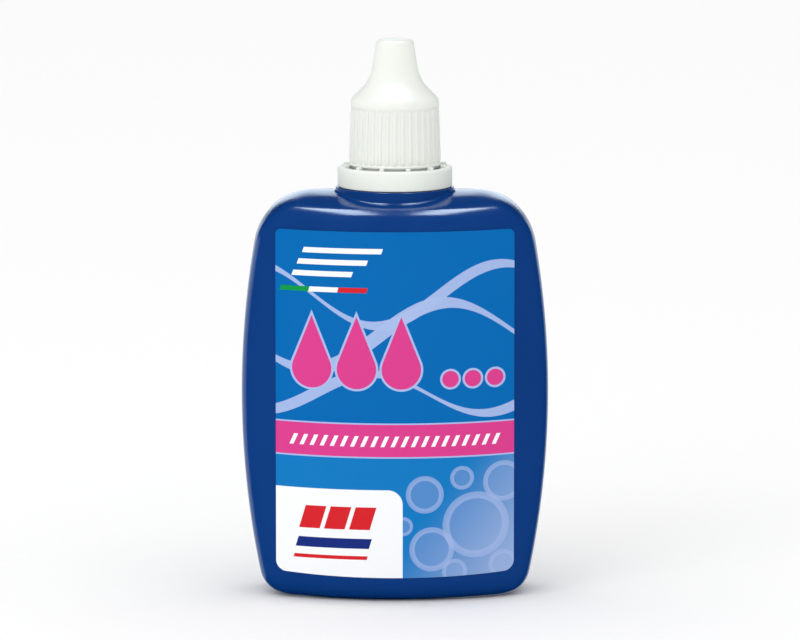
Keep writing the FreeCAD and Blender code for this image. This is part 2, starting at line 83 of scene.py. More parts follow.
# A closed loop from the sleeve's foot, over the flange and the nozzle, and down the channel
PLUG_SECTION = (
    (3.70, 83.30, 0.15), (4.45, 83.30, 0.20), (4.45, 84.20, 0.05), (4.77, 84.30, 0.15),
    (4.77, 85.00, 0.15), (4.45, 85.10, 0.05), (4.45, 87.40, 0.05), (4.77, 87.50, 0.15),
    (4.77, 88.20, 0.15), (4.45, 88.30, 0.05), (4.45, 90.52, 0.00), (6.00, 90.52, 0.15),
    (6.00, 91.60, 0.30), (4.20, 91.60, 0.60), (1.90, 103.00, 0.40), (0.50, 103.00, 0.12),
    (0.50, 101.60, 0.12), (3.20, 91.60, 0.50), (3.70, 90.50, 0.30),
)


def length(name, millimetres, description):
    """A size that is set in millimetres and kept in metres."""
    return FloatProperty(name=name, description=description, default=millimetres * MM,
                         unit="LENGTH", precision=5)


def srgb(hex_text):
    """Turn an sRGB hex colour into linear red, green, blue and alpha."""
    channels = [int(hex_text[place:place + 2], 16) / 255 for place in (1, 3, 5)]
    return [c / 12.92 if c <= 0.04045 else ((c + 0.055) / 1.055) ** 2.4 for c in channels] + [1.0]


def colour(name, hex_text, description):
    """A colour that is set as sRGB hex and kept linear."""
    return FloatVectorProperty(name=name, description=description, default=srgb(hex_text),
                               size=4, subtype="COLOR")


class FlaskSizes(bpy.types.PropertyGroup):
    """Outline and plan of the blown flask."""

    width: length("Width", (BOTTLE_HIGH.x - BOTTLE_LOW.x) / MM, "Width at the widest height")
    depth: length("Depth", 30.0, "Depth between the two bowed panels")
    shoulder: length("Shoulder height", 76.25, "Height of the middle of the shoulder")
    widest: length("Widest height", 38.0, "Height at which the sides stand furthest apart")
    side_radius: length("Side radius", 170.0, "Radius of the bowed sides, seen from the front")
    panel_radius: length("Panel radius", 45.0, "Radius of the bowed panels, seen from above")
    top_corner: length("Shoulder corner", 11.4, "Radius of the shoulder's corners, seen from the front")
    base_corner: length("Base corner", 5.5, "Radius of the base's corners, seen from the front")
    edge: length("Edge radius", 4.5, "Rounding between the panels and the sides, shoulder and base")
    crown: length("Crown", 8.0, "How far the shoulder's rounding reaches in")
    bow: length("Bow", 55.0, "Radius of the faint swell of sides and shoulder, front to back")
    dome: length("Dome", 2.5, "How far below its middle the shoulder's swell begins")
    wall: length("Wall", 1.0, "Wall thickness")
    foot: length("Foot recess", 1.0, "How far the middle of the base is pushed up")
    collar_radius: length("Collar radius", 11.15, "Radius of the raised collar on the shoulder")
    collar_fillet: length("Collar fillet", 0.55, "Rounding where the collar meets the shoulder")


class LabelSizes(bpy.types.PropertyGroup):
    """Outline of the film label."""

    width: length("Width", 44.8, "Width of the film across the front")
    bottom: length("Bottom", 4.8, "Height of the middle of the lower edge")
    bow: length("Bow", 0.6, "How far the ends of the lower edge stand above its middle")
    top: length("Top", 70.25, "Height of the upper edge")
    top_corner: length("Upper corners", 1.1, "Radius of the two upper corners")
    low_corner: length("Lower corners", 1.9, "Radius of the two lower corners")
    glue: length("Glue", 0.05, "Thickness of the glue under the film")
    film: length("Film", 0.09, "Thickness of the film")


class ClosureSizes(bpy.types.PropertyGroup):
    """Repeats and threads of the cap, the band and the neck."""

    rib_count: IntProperty(name="Ribs", description="Ribs around the cap's skirt", default=36)
    rib_width: length("Rib width", 0.82, "Width of one rib at its root")
    rib_rise: length("Rib rise", 0.19, "How far a rib stands out of the skirt")
    bridge_count: IntProperty(name="Bridges", description="Bridges around the tamper band", default=12)
    bridge_width: length("Bridge width", 0.75, "Width of one bridge")
    lead: length("Thread lead", 3.0, "Rise of the screw thread in one turn")
    thread_depth: length("Thread depth", 0.72, "Height of the thread's ridge")
    thread_root: length("Thread root", 1.7, "Width of the thread's ridge at its root")
    thread_crest: length("Thread crest", 0.9, "Width of the thread's ridge at its crest")
    thread_turns: FloatProperty(name="Turns", description="Length of the thread in turns", default=1.75)
    neck_thread_radius: length("Neck thread radius", 5.95, "Radius that the neck's thread stands on")
    neck_thread_start: length("Neck thread start", 84.0, "Height at which the neck's thread begins")
    cap_thread_radius: length("Cap thread radius", 7.1, "Radius that the cap's thread stands on")
    cap_thread_start: length("Cap thread start", 82.5, "Height at which the cap's thread begins")


class Finishes(bpy.types.PropertyGroup):
    """Colours of the plastics and of the print."""

    flask: colour("Flask", "#043a80", "Dark blue polyethylene of the flask")
    cap: colour("Cap", "#eff3ec", "White polypropylene of the cap and band")
    plug: colour("Plug", "#e6e8e0", "Natural polyethylene of the dropper plug")
    blue: colour("Label blue", "#0069b4", "Upper ground of the print")
    light_blue: colour("Label light blue", "#0f7ac2", "Lower ground of the print")
    pale_blue: colour("Label pale blue", "#9db4de", "Lower right corner of the print")
    lilac: colour("Lilac", "#a8bce8", "Strokes and outlines of the print")
    pink: colour("Pink", "#db408e", "Band and drops of the print")
    white: colour("Print white", "#f7f9fb", "White fields of the print")
    green: colour("Green", "#12984a", "First third of the stripe")
    red: colour("Red", "#d8252d", "Last third of the stripe, and the bars on the white field")
    navy: colour("Navy", "#1b2f7e", "Line on the white field")


class StageSizes(bpy.types.PropertyGroup):
    """Place and view of the camera."""

    camera_distance: length("Camera distance", 1240.0, "From the bottle's axis to the camera")
    camera_height: length("Camera height", 228.0, "Height of the camera above the floor")
    aim_height: length("Aim height", 51.6, "Height on the bottle's axis at the middle of the picture")
    aim_side: length("Aim side", 0.95, "How far right of the bottle's axis the camera stands")
    view_width: length("View width", 151.2, "Width of the picture at the bottle's axis")


def add_node(tree, kind, inputs=None, **settings):
    """Add a node, set its settings, fill or link its inputs, and return its first output in use."""
    node = tree.nodes.new(kind)
    for name, value in settings.items():
        setattr(node, name, value)
    for key, value in (inputs or {}).items():
        if isinstance(value, bpy.types.NodeSocket):
            tree.links.new(value, node.inputs[key])
        else:
            node.inputs[key].default_value = value
    return next((socket for socket in node.outputs if socket.enabled), None)


def new_material(name):
    """An empty node material, and what adds nodes to it."""
    material = bpy.data.materials.new(name)
    material.use_nodes = True
    material.node_tree.nodes.clear()
    return material, partial(add_node, material.node_tree)


def object_millimetres(add):
    """Object coordinates in millimetres."""
    coordinates = add("ShaderNodeTexCoord").node.outputs["Object"]
    return add("ShaderNodeVectorMath", {0: coordinates, "Scale": 1 / MM}, operation="SCALE")


def polyethylene_blown(finishes):
    """Blow-moulded polyethylene: glossy, with the faint orange peel and the parting line of the mould."""
    material, add = new_material("polyethylene_blown_gloss")
    place = object_millimetres(add)
    flow_width, peel_width, seam_half_width = 14.0, 1.6, 0.12
    flow = add("ShaderNodeTexNoise", {"Vector": place, "Scale": 1 / flow_width, "Detail": 3.0})
    tint = add("ShaderNodeMapRange", {"Value": flow, "To Min": 0.9, "To Max": 1.1})
    shade = add("ShaderNodeMix", {"Factor": 1.0, "A": finishes.flask, "B": tint},
                data_type="RGBA", blend_type="MULTIPLY")
    gloss = add("ShaderNodeMapRange", {"Value": flow, "To Min": 0.15, "To Max": 0.2})
    peel = add("ShaderNodeTexNoise", {"Vector": place, "Scale": 1 / peel_width, "Detail": 1.0})
    parts = add("ShaderNodeSeparateXYZ", {0: place}).node
    off_seam = add("ShaderNodeMath", {0: parts.outputs["Y"]}, operation="ABSOLUTE")
    seam = add("ShaderNodeMapRange",
               {"Value": off_seam, "From Min": seam_half_width, "From Max": 0.0, "To Max": 3.0})
    relief = add("ShaderNodeMath", {0: peel, 1: seam}, operation="ADD")
    bump = add("ShaderNodeBump", {"Height": relief, "Strength": 0.05, "Distance": 0.2 * MM})
    shader = add("ShaderNodeBsdfPrincipled", {
        "Base Color": shade, "Roughness": gloss, "Normal": bump, "IOR": 1.54})
    add("ShaderNodeOutputMaterial", {"Surface": shader})
    return material


def polyolefin_moulded(name, base, roughness, scatter):
    """Injection-moulded polyolefin: satin, faintly translucent, with the fine grain of its mould."""
    material, add = new_material(name)
    place = object_millimetres(add)
    # The real grain is about 0.1 mm and would not show, so it is drawn coarser
    cloud_width, grain_width, gloss_spread = 6.0, 0.35, 0.04
    cloud = add("ShaderNodeTexNoise", {"Vector": place, "Scale": 1 / cloud_width, "Detail": 2.0})
    tint = add("ShaderNodeMapRange", {"Value": cloud, "To Min": 0.97, "To Max": 1.0})
    shade = add("ShaderNodeMix", {"Factor": 1.0, "A": base, "B": tint},
                data_type="RGBA", blend_type="MULTIPLY")
    gloss = add("ShaderNodeMapRange",
                {"Value": cloud, "To Min": roughness - gloss_spread, "To Max": roughness + gloss_spread})
    grain = add("ShaderNodeTexNoise", {"Vector": place, "Scale": 1 / grain_width, "Detail": 1.0})
    bump = add("ShaderNodeBump", {"Height": grain, "Strength": 0.06, "Distance": 0.1 * MM})
    shader = add("ShaderNodeBsdfPrincipled", {
        "Base Color": shade, "Roughness": gloss, "Normal": bump, "IOR": 1.49,
        "Subsurface Weight": scatter, "Subsurface Radius": (1.0, 1.0, 1.0), "Subsurface Scale": MM})
    add("ShaderNodeOutputMaterial", {"Surface": shader})
    return material


class LabelPrint:
    """Inks laid over each other on the label; its shapes are masks, in millimetres across and up."""

    def __init__(self, add, ground):
        self.add, self.colour = add, ground
        place, flat = object_millimetres(add), (1.0, 0.0, 1.0)
        self.place = self.add("ShaderNodeVectorMath", {0: place, 1: flat}, operation="MULTIPLY")
        parts = self.add("ShaderNodeSeparateXYZ", {0: self.place}).node
        self.across, self.up = parts.outputs["X"], parts.outputs["Z"]

    def lay(self, ink, *masks, strength=1.0):
        """Lay an ink over what is printed so far, where all the masks are 1."""
        factor = strength
        for mask in masks:
            factor = self.add("ShaderNodeMath", {0: mask, 1: factor}, operation="MULTIPLY")
        self.colour = self.add("ShaderNodeMix", {"Factor": factor, "A": self.colour, "B": ink},
                               data_type="RGBA")

    def ring(self, across, up, radius, width):
        """A ring of the given width along its middle radius."""
        away = self.add("ShaderNodeVectorMath", {0: self.place, 1: (across, 0.0, up)}, operation="DISTANCE")
        return self.add("ShaderNodeMath", {0: away, 1: radius, 2: width / 2}, operation="COMPARE")

    def disc(self, across, up, radius):
        """A full disc: a ring as wide as its outer radius."""
        return self.ring(across, up, radius / 2, radius)

    def bar(self, left, right, bottom, top, slant=0.0):
        """A bar whose ends lean by slant millimetres across per millimetre up."""
        middle, level = (left + right) / 2, (bottom + top) / 2
        lean = self.add("ShaderNodeVectorMath", {0: self.place, 1: (1.0, 0.0, -slant)},
                        operation="DOT_PRODUCT")
        width = self.add("ShaderNodeMath",
                         {0: lean, 1: middle - slant * level, 2: (right - left) / 2}, operation="COMPARE")
        height = self.add("ShaderNodeMath", {0: self.up, 1: level, 2: (top - bottom) / 2},
                          operation="COMPARE")
        return self.add("ShaderNodeMath", {0: width, 1: height}, operation="MULTIPLY")

    def dashes(self, level, pitch, width, slant):
        """Leaning dashes, evenly spaced from the middle of the label."""
        off_level = self.add("ShaderNodeVectorMath", {0: self.place, 1: (0.0, 0.0, level)},
                             operation="SUBTRACT")
        lean = self.add("ShaderNodeVectorMath", {0: off_level, 1: (1.0, 0.0, -slant)},
                        operation="DOT_PRODUCT")
        step = self.add("ShaderNodeMath", {0: lean, 1: pitch / 2}, operation="PINGPONG")
        return self.add("ShaderNodeMath", {0: step, 1: width / 2}, operation="LESS_THAN")

    def drop(self, across, up, radius, height):
        """A drop: a disc, and the point that is tangent to it."""
        angle, tip = math.asin(radius / height), up + height
        foot = up + radius * math.sin(angle)
        off_tip = self.add("ShaderNodeVectorMath", {0: self.place, 1: (across, 0.0, tip)},
                           operation="SUBTRACT")
        spread = self.add("ShaderNodeVectorMath", {0: off_tip}, operation="ABSOLUTE")
        beyond = self.add("ShaderNodeVectorMath", {0: spread, 1: (math.cos(angle), 0.0, -math.sin(angle))},
                          operation="DOT_PRODUCT")
        wedge = self.add("ShaderNodeMath", {0: beyond, 1: 0.0}, operation="LESS_THAN")
        height = self.add("ShaderNodeMath", {0: self.up, 1: (foot + tip) / 2, 2: (tip - foot) / 2},
                          operation="COMPARE")
        point = self.add("ShaderNodeMath", {0: wedge, 1: height}, operation="MULTIPLY")
        return self.add("ShaderNodeMath", {0: point, 1: self.disc(across, up, radius)}, operation="MAXIMUM")

    def wave(self, up, swing, wavelength, start, width):
        """A wavy stroke that swells and thins along its length."""
        phase = self.add("ShaderNodeMath", {0: self.across, 1: math.tau / wavelength, 2: start},
                         operation="MULTIPLY_ADD")
        sine = self.add("ShaderNodeMath", {0: phase}, operation="SINE")
        level = self.add("ShaderNodeMath", {0: sine, 1: swing, 2: up}, operation="MULTIPLY_ADD")
        cosine = self.add("ShaderNodeMath", {0: phase}, operation="COSINE")
        mean_half, swell_half = width * 0.55, width * 0.3
        swell = self.add("ShaderNodeMath", {0: cosine, 1: swell_half, 2: mean_half}, operation="MULTIPLY_ADD")
        return self.add("ShaderNodeMath", {0: self.up, 1: level, 2: swell}, operation="COMPARE")


def film_printed(finishes):
    """Printed polypropylene film, lacquered: even inks, crisp edges, glossy, faintly wavy from the glue."""
    material, add = new_material("polypropylene_film_printed")
    sheet = LabelPrint(add, finishes.blue)
    band_bottom, band_top, border = 27.8, 33.9, 0.28
    upper = add("ShaderNodeMath", {0: sheet.up, 1: band_top}, operation="GREATER_THAN")
    lower = add("ShaderNodeMath", {0: sheet.up, 1: band_bottom}, operation="LESS_THAN")

    # Ground under the band, paling to the lower right
    slope, pale_from, pale_to = -0.75, -8.0, 21.0
    diagonal = add("ShaderNodeMath", {0: sheet.up, 1: slope, 2: sheet.across}, operation="MULTIPLY_ADD")
    paling = add("ShaderNodeMapRange", {"Value": diagonal, "From Min": pale_from, "From Max": pale_to},
                 interpolation_type="SMOOTHSTEP")
    sheet.lay(finishes.light_blue, lower)
    sheet.lay(finishes.pale_blue, lower, paling, strength=0.95)

    # Bubbles in the lower right corner
    for across, up, radius, width in (
            (15.2, 14.6, 5.6, 1.3), (5.6, 20.6, 3.1, 0.9), (6.9, 10.2, 3.7, 1.0), (20.4, 22.6, 3.4, 0.9),
            (12.6, 23.6, 1.9, 0.7), (11.2, 5.9, 2.0, 0.7), (20.3, 6.8, 2.3, 0.8), (1.6, 14.6, 1.5, 0.6)):
        sheet.lay(finishes.lilac, lower, sheet.disc(across, up, radius), strength=0.22)
        sheet.lay(finishes.lilac, lower, sheet.ring(across, up, radius, width), strength=0.55)

    # Flowing strokes above the band
    for up, swing, wavelength, start, width in (
            (58.2, 5.6, 47.0, -1.1, 1.5), (50.5, 6.4, 52.0, 0.4, 1.9), (39.6, 3.9, 43.0, 2.2, 1.4)):
        sheet.lay(finishes.lilac, upper, sheet.wave(up, swing, wavelength, start, width), strength=0.92)

    # Drops and dots, each over a larger one that shows as its outline
    drop_up, drop_radius, drop_height, tip_growth = 44.3, 3.7, 10.0, 2.6
    dot_up, dot_radius = 42.4, 1.55
    for ink, outline in ((finishes.lilac, 0.4), (finishes.pink, 0.0)):
        for across in (-15.6, -7.2, 1.2):
            height = drop_height + tip_growth * outline
            sheet.lay(ink, sheet.drop(across, drop_up, drop_radius + outline, height))
        for across in (10.4, 14.6, 18.8):
            sheet.lay(ink, sheet.disc(across, dot_up, dot_radius + outline))

    # Band with its borders and dashes
    half_width, lean = 30.0, 0.45
    sheet.lay(finishes.lilac, sheet.bar(-half_width, half_width, band_bottom - border, band_top + border))
    sheet.lay(finishes.pink, sheet.bar(-half_width, half_width, band_bottom, band_top))
    sheet.lay(finishes.white, sheet.bar(-19.6, 19.6, 29.7, 31.7, lean),
              sheet.dashes(level=30.7, pitch=1.9, width=0.75, slant=lean))

    # White field with bars, its upper right corner rounded
    right, top, corner, bottom, lean = 1.45, 21.5, 2.8, -10.0, 0.3
    sheet.lay(finishes.white, sheet.bar(-half_width, right - corner, bottom, top))
    sheet.lay(finishes.white, sheet.bar(-half_width, right, bottom, top - corner))
    sheet.lay(finishes.white, sheet.disc(right - corner, top - corner, corner))
    for left in (-17.4, -12.7, -8.0):
        sheet.lay(finishes.red, sheet.bar(left, left + 3.9, 13.9, 18.2, lean))
    sheet.lay(finishes.navy, sheet.bar(-18.4, -4.6, 10.3, 12.2, lean))
    sheet.lay(finishes.red, sheet.bar(-19.0, -5.2, 8.2, 8.9, lean))

    # Stripe and the three lines above it
    for ink, left in ((finishes.green, -21.5), (finishes.white, -16.1), (finishes.red, -10.6)):
        sheet.lay(ink, sheet.bar(left, left + 5.4, 58.75, 59.7, 0.25))
    for left, right, up in ((-17.2, -2.4, 66.6), (-18.2, -5.2, 64.4), (-19.2, -8.0, 62.2)):
        sheet.lay(finishes.white, sheet.bar(left, right, up - 0.5, up + 0.5, 0.35))

    cockle_width = 9.0
    cockle = add("ShaderNodeTexNoise", {"Vector": sheet.place, "Scale": 1 / cockle_width, "Detail": 1.0})
    bump = add("ShaderNodeBump", {"Height": cockle, "Strength": 0.05, "Distance": 0.2 * MM})
    gloss = add("ShaderNodeMapRange", {"Value": cockle, "To Min": 0.12, "To Max": 0.16})
    shader = add("ShaderNodeBsdfPrincipled", {
        "Base Color": sheet.colour, "Roughness": gloss, "Normal": bump, "IOR": 1.5})
    add("ShaderNodeOutputMaterial", {"Surface": shader})
    return material


def rounded(corners, closed):
    """Points along a section whose corners, given as radius, height and rounding, are turned into arcs."""
    steps, most_of_side = 7, 0.48
    count = len(corners)
    points = []
    for index, (across, up, rounding) in enumerate(corners):
        is_end = not closed and index in (0, count - 1)
        if rounding == 0 or is_end:
            points.append((across, up))
            continue
        corner = Vector((across, up))
        back, ahead = (Vector(corners[(index + step) % count][:2]) - corner for step in (-1, 1))
        half = back.angle(ahead) / 2
        reach = min(rounding / math.tan(half), most_of_side * back.length, most_of_side * ahead.length)
        radius = reach * math.tan(half)
        back, ahead = back.normalized(), ahead.normalized()
        centre = (back + ahead).normalized() * (radius / math.sin(half))
        first, last = (math.atan2(*(way * reach - centre).yx) for way in (back, ahead))
        turn = (last - first + math.pi) % math.tau - math.pi
        for step in range(steps + 1):
            angle = first + turn * step / steps
            points.append((across + centre.x + radius * math.cos(angle),
                           up + centre.y + radius * math.sin(angle)))
    return points


def mesh_from(work):
    """A new mesh from a bmesh, which is used up."""
    mesh = bpy.data.meshes.new("work")
    work.to_mesh(mesh)
    work.free()
    return mesh


def skin(rings, capped=False):
    """A mesh over rings of points; a ring of one point is a pole, and capped fills the end rings."""
    work = bmesh.new()
    loops = [[work.verts.new(point) for point in ring] for ring in rings]
    for lower, upper in zip(loops, loops[1:]):
        for index in range(max(len(lower), len(upper))):
            corners = [lower[index % len(lower)], lower[(index + 1) % len(lower)],
                       upper[(index + 1) % len(upper)], upper[index % len(upper)]]
            work.faces.new(list(dict.fromkeys(corners)))
    if capped:
        work.faces.new(loops[0])
        work.faces.new(loops[-1])
    bmesh.ops.recalc_face_normals(work, faces=work.faces)
    return mesh_from(work)


def join(meshes):
    """One mesh from several, which are used up."""
    work = bmesh.new()
    for mesh in meshes:
        work.from_mesh(mesh)
        bpy.data.meshes.remove(mesh)
    return mesh_from(work)


def add_object(name, data):
    """A new object in the scene."""
    new = bpy.data.objects.new(name, data)
    bpy.context.scene.collection.objects.link(new)
    return new


def finish_piece(mesh, name, material, node, body, sharp_angle=40.0):
    """Make a mesh the piece that stands for a CAD node."""
    mesh.name = name
    mesh.materials.clear()
    mesh.materials.append(material)
    mesh.shade_smooth()
    mesh.set_sharp_from_angle(angle=math.radians(sharp_angle))
    piece = add_object(name, mesh)
    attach(piece, body)
    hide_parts(node)


def new_tree(name, inputs):
    """A geometry tree with inputs and a material, what adds nodes to it, and the inputs' sockets."""
    tree = bpy.data.node_groups.new(name, "GeometryNodeTree")
    tree.interface.new_socket(name="Geometry", in_out="OUTPUT", socket_type="NodeSocketGeometry")
    sockets = {"Geometry": "NodeSocketGeometry", **inputs, "Material": "NodeSocketMaterial"}
    for socket_name, socket_type in sockets.items():
        tree.interface.new_socket(name=socket_name, in_out="INPUT", socket_type=socket_type)
    add = partial(add_node, tree)
    return tree, add, add("NodeGroupInput").node.outputs


def close_tree(add, geometry, material):
    """End a tree in realized instances with one material."""
    real = add("GeometryNodeRealizeInstances", {0: geometry})
    painted = add("GeometryNodeSetMaterial", {"Geometry": real, "Material": material})
    add("NodeGroupOutput", {0: painted})


def grow(tree, values, mesh):
    """Run a geometry tree on a mesh and return its result as a plain mesh."""
    carrier = add_object(tree.name, mesh)
    modifier = carrier.modifiers.new(tree.name, "NODES")
    modifier.node_group = tree
    for item in tree.interface.items_tree:
        if item.in_out == "INPUT" and item.name in values:
            modifier[item.identifier] = values[item.name]
    result = bpy.data.meshes.new_from_object(carrier.evaluated_get(bpy.context.evaluated_depsgraph_get()))
    bpy.data.objects.remove(carrier)
    bpy.data.meshes.remove(mesh)
    return result


def close_seams(mesh):
    """Merge the points that lie on each other and turn the faces outwards."""
    work = bmesh.new()
    work.from_mesh(mesh)
    bmesh.ops.remove_doubles(work, verts=work.verts, dist=MM * 1e-4)
    bmesh.ops.recalc_face_normals(work, faces=work.faces)
    work.to_mesh(mesh)
    work.free()
    return mesh


def turned_tree():
    """A half section, drawn upright with its radius along X, turned about the upright axis."""
    tree, add, given = new_tree("turned_piece", {"Segments": "NodeSocketInt"})
    path_radius = MM
    section = add("GeometryNodeMeshToCurve", {"Mesh": given["Geometry"]})
    laid = add("GeometryNodeTransform", {
        "Geometry": section, "Translation": (-path_radius, 0.0, 0.0), "Rotation": (math.pi / 2, 0.0, 0.0)})
    circle = add("GeometryNodeCurvePrimitiveCircle", {
        "Resolution": given["Segments"], "Radius": path_radius}, mode="RADIUS")
    upright = add("GeometryNodeSetCurveNormal", {"Curve": circle}, mode="Z_UP")
    turned = add("GeometryNodeCurveToMesh", {"Curve": upright, "Profile Curve": laid})
    close_tree(add, turned, given["Material"])
    return tree


def turned_mesh(corners, material, closed, segments):
    """Turn a half section in millimetres about the upright axis."""
    points = [(across * MM, 0.0, up * MM) for across, up in rounded(corners, closed)]
    count = len(points)
    edges = [(index, (index + 1) % count) for index in range(count if closed else count - 1)]
    section = bpy.data.meshes.new("section")
    section.from_pydata(points, edges, [])
    return close_seams(grow(turned_tree(), {"Segments": segments, "Material": material}, section))


def ring_of_copies_tree():
    """Copies of a mesh, evenly turned about the upright axis."""
    tree, add, given = new_tree("ring_of_copies", {
        "Count": "NodeSocketInt", "First Angle": "NodeSocketFloat"})
    index = add("GeometryNodeInputIndex")
    step = add("ShaderNodeMath", {0: math.tau, 1: given["Count"]}, operation="DIVIDE")
    angle = add("ShaderNodeMath", {0: index, 1: step, 2: given["First Angle"]}, operation="MULTIPLY_ADD")
    turn = add("ShaderNodeCombineXYZ", {"Z": angle})
    points = add("GeometryNodePoints", {"Count": given["Count"]})
    copies = add("GeometryNodeInstanceOnPoints",
                 {"Points": points, "Instance": given["Geometry"], "Rotation": turn})
    close_tree(add, copies, given["Material"])
    return tree


def thread_tree():
    """A right-handed screw thread: a trapezoid ridge along a helix, run out at both ends."""
    tree, add, given = new_tree("screw_thread", dict.fromkeys(
        ("Radius", "Depth", "Root", "Crest", "Lead", "Turns", "Start", "Facing"), "NodeSocketFloat"))
    end_swell, run_out, edge = 0.02, 14.0, 0.2 * MM
    height = add("ShaderNodeMath", {0: given["Lead"], 1: given["Turns"]}, operation="MULTIPLY")
    helix = add("GeometryNodeCurveSpiral", {
        "Resolution": 96, "Rotations": given["Turns"], "Start Radius": given["Radius"],
        "End Radius": given["Radius"], "Height": height, "Reverse": True})
    upright = add("GeometryNodeSetCurveNormal", {"Curve": helix}, mode="Z_UP")
    along = add("GeometryNodeSplineParameter")
    to_end = add("ShaderNodeMath", {0: 1.0, 1: along}, operation="SUBTRACT")
    nearest = add("ShaderNodeMath", {0: along, 1: to_end}, operation="MINIMUM")
    swell = add("ShaderNodeMath", {0: nearest, 1: run_out, 2: end_swell}, operation="MULTIPLY_ADD",
                use_clamp=True)
    profile = add("GeometryNodeCurvePrimitiveQuadrilateral", {
        "Height": given["Depth"], "Bottom Width": given["Root"],
        "Top Width": given["Crest"], "Offset": 0.0}, mode="TRAPEZOID")
    smooth = add("GeometryNodeFilletCurve", {
        "Curve": profile, "Count": 3, "Radius": edge, "Limit Radius": True}, mode="POLY")
    half_depth = add("ShaderNodeMath", {0: given["Depth"], 1: 0.5}, operation="MULTIPLY")
    out = add("ShaderNodeMath", {0: half_depth, 1: given["Facing"]}, operation="MULTIPLY")
    quarter_turn = add("ShaderNodeMath", {0: -math.pi / 2, 1: given["Facing"]}, operation="MULTIPLY")
    seated = add("GeometryNodeTransform", {
        "Geometry": smooth, "Translation": add("ShaderNodeCombineXYZ", {"X": out}),
        "Rotation": add("ShaderNodeCombineXYZ", {"Z": quarter_turn})})
    ridge = add("GeometryNodeCurveToMesh", {
        "Curve": upright, "Profile Curve": seated, "Scale": swell, "Fill Caps": True})
    place = add("ShaderNodeCombineXYZ", {"Z": given["Start"]})
    raised = add("GeometryNodeTransform", {"Geometry": ridge, "Translation": place})
    close_tree(add, raised, given["Material"])
    return tree


class FlaskShape:
    """Plans of the flask at any height, of its outside or, with an inset, of its inside."""

    # Steps along a panel, a corner and a side of the plan
    PANEL, CORNER, SIDE = 72, 16, 20

    def __init__(self, sizes, inset, floor, top, crown):
        self.floor, self.top, self.crown = floor, top, crown
        self.edge, self.panel, self.bow = sizes.edge - inset, sizes.panel_radius - inset, sizes.bow - inset
        self.back_off = sizes.panel_radius - sizes.depth / 2
        low, high = sizes.base_corner - inset, sizes.top_corner - inset
        side, widest = sizes.side_radius - inset, sizes.widest
        middle, low_up, high_up = sizes.width / 2 - sizes.side_radius, floor + low, top - high
        low_turn = math.asin((low_up - widest) / (side - low))
        high_turn = math.asin((high_up - widest) / (side - high))
        # Base corner, side and shoulder corner from the front: centre across and up, radius, end angles
        self.arcs = ((middle + (side - low) * math.cos(low_turn), low_up, low, -math.pi / 2, low_turn),
                     (middle, widest, side, low_turn, high_turn),
                     (middle + (side - high) * math.cos(high_turn), high_up, high, high_turn, math.pi / 2))

    def heights(self, *arc_steps):
        """Heights of the plans, evenly along each arc."""
        found = [self.floor]
        for (_, up, radius, first, last), steps in zip(self.arcs, arc_steps):
            turns = [first + (last - first) * step / steps for step in range(1, steps + 1)]
            found += [up + radius * math.sin(turn) for turn in turns]
        return found

    def half_width(self, height):
        """Half of the width at a height."""
        for across, up, radius, _, last in self.arcs:
            if height <= up + radius * math.sin(last):
                break
        rise = max(-1.0, min(1.0, (height - up) / radius))
        return across + radius * math.sqrt(1 - rise * rise)

    def panel_at(self, height):
        """Radius of the bowed panels, drawn in near the base and the shoulder."""
        drawn = 0.0
        for reach, away in ((self.edge, height - self.floor), (self.crown, self.top - height)):
            near = min(1.0, max(0.0, 1 - away / self.edge))
            drawn += reach * (1 - math.sqrt(1 - near * near))
        return self.panel - drawn

    def corner_at(self, height):
        """Centre of the rounded corner in the first quarter of the plan."""
        side_middle = Vector((self.half_width(height) - self.bow, 0.0))
        panel_middle = Vector((0.0, -self.back_off))
        from_side, from_panel = self.bow - self.edge, self.panel_at(height) - self.edge
        apart = panel_middle - side_middle
        share = (from_side**2 - from_panel**2 + apart.length_squared) / (2 * apart.length_squared)
        off = math.sqrt(from_side**2 / apart.length_squared - share**2)
        return side_middle + apart * share + Vector((-apart.y, apart.x)) * off

    def holds(self, x, y, height):
        """Whether a point lies within the plan at a height."""
        x, y = abs(x), abs(y)
        across, along = self.corner_at(height)
        side_middle = self.half_width(height) - self.bow
        beside = math.hypot(x - side_middle, y) > self.bow
        if beside or math.hypot(x, y + self.back_off) > self.panel_at(height):
            return False
        past_side = (y - along) * (across - side_middle) > (x - across) * along
        past_panel = (x - across) * (along + self.back_off) > (y - along) * across
        return not (past_side and past_panel) or math.hypot(x - across, y - along) <= self.edge

    def surface_above(self, x, y, lowest):
        """Height of the shoulder over a point."""
        if self.holds(x, y, self.top):
            return self.top
        low, high = lowest, self.top
        halvings = 30
        for _ in range(halvings):
            middle = (low + high) / 2
            low, high = (middle, high) if self.holds(x, y, middle) else (low, middle)
        return low

    def plan(self, height):
        """Points round the plan at a height, from the middle of the right side."""
        across, along = self.corner_at(height)
        panel, half = self.panel_at(height), self.half_width(height)
        lean = math.atan2(across, along + self.back_off)
        side_turn = math.atan2(along, across - half + self.bow)
        quarter = []
        for step in range(self.SIDE // 2):
            angle = side_turn * step / (self.SIDE / 2)
            quarter.append((half - self.bow * (1 - math.cos(angle)), self.bow * math.sin(angle)))
        for step in range(self.CORNER):
            angle = side_turn + (math.pi / 2 - lean - side_turn) * step / self.CORNER
            quarter.append((across + self.edge * math.cos(angle), along + self.edge * math.sin(angle)))
        for step in range(self.PANEL // 2):
            angle = lean * (1 - step / (self.PANEL / 2))
            quarter.append((panel * math.sin(angle), panel * math.cos(angle) - self.back_off))
        back = quarter + [(0.0, panel - self.back_off)] + [(-x, y) for x, y in reversed(quarter[1:])]
        return back + [(-x, -y) for x, y in back]


